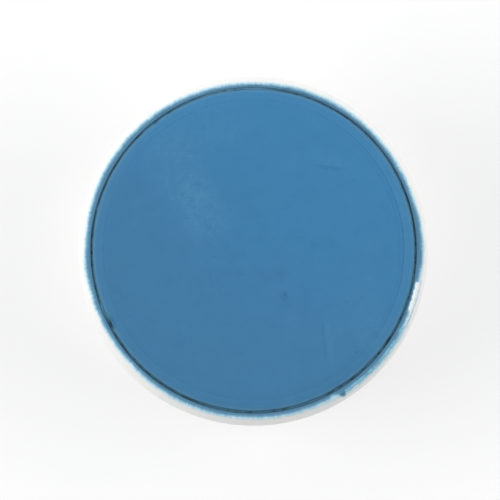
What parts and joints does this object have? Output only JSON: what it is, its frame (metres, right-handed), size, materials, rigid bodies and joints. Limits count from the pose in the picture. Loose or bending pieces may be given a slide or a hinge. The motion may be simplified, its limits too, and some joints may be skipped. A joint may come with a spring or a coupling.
{
  "type": "cue chalk",
  "caption": "Round pressed cue chalk stuck into a thin moulded cup with a bevelled lip, a ring foot and a plain paper band round its side.",
  "frame": {"origin": "centre of the foot, on the surface that the cup stands on", "axes": "+Z is the cup's axis, up through the chalk's working face; +X and +Y are free, with the label's seam at 135 degrees from +X"},
  "size_m": [0.025, 0.025, 0.02],
  "materials": {
    "cup_plastic": "satin",
    "chalk": "matte",
    "hot_melt_glue": "satin",
    "label_paper": "matte"
  },
  "bodies": {
    "root": {"chalk_cup": "cup_plastic", "chalk_cake": "chalk", "glue_disc": "hot_melt_glue", "side_label": "label_paper"}
  },
  "joints": []
}
